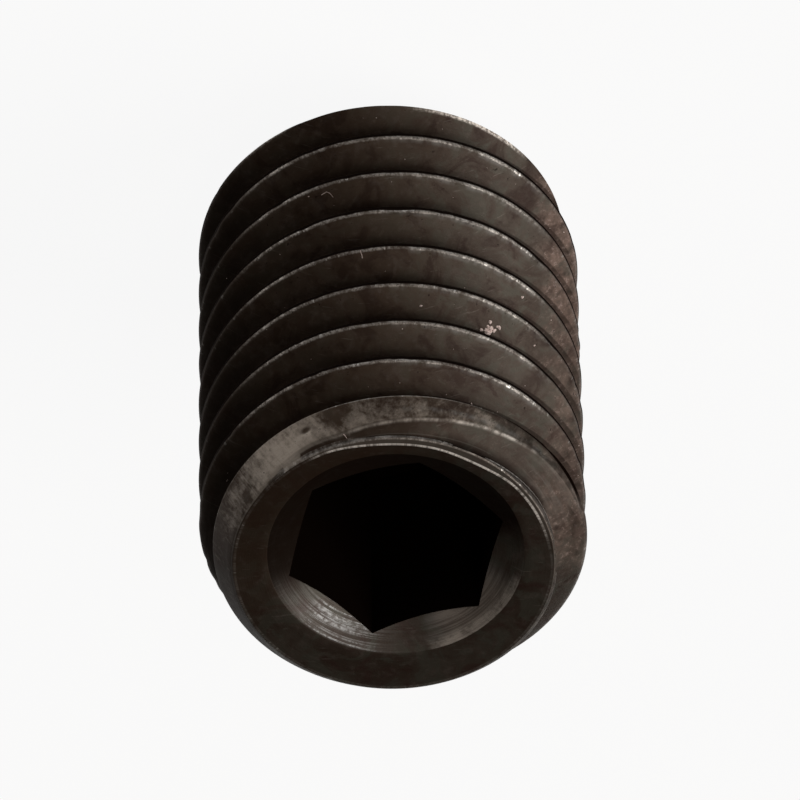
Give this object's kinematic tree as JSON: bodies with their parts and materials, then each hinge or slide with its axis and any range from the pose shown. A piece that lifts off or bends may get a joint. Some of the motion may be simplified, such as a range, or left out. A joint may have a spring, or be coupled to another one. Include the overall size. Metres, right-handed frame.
{
  "type": "hexagon socket set screw",
  "caption": "Headless steel set screw with a full-length coarse right-hand thread, a countersunk hexagon socket at one end and a flat chamfered point at the other.",
  "frame": {"origin": "on the thread axis in the flat face of the point", "axes": "+Z along the thread axis, from the point towards the socket"},
  "size_m": [0.008, 0.008, 0.012],
  "materials": {
    "black_oxide_steel": "dark oxide, worn bright along crests and chamfer"
  },
  "bodies": {
    "root": {"set_screw": "black_oxide_steel"}
  },
  "joints": []
}
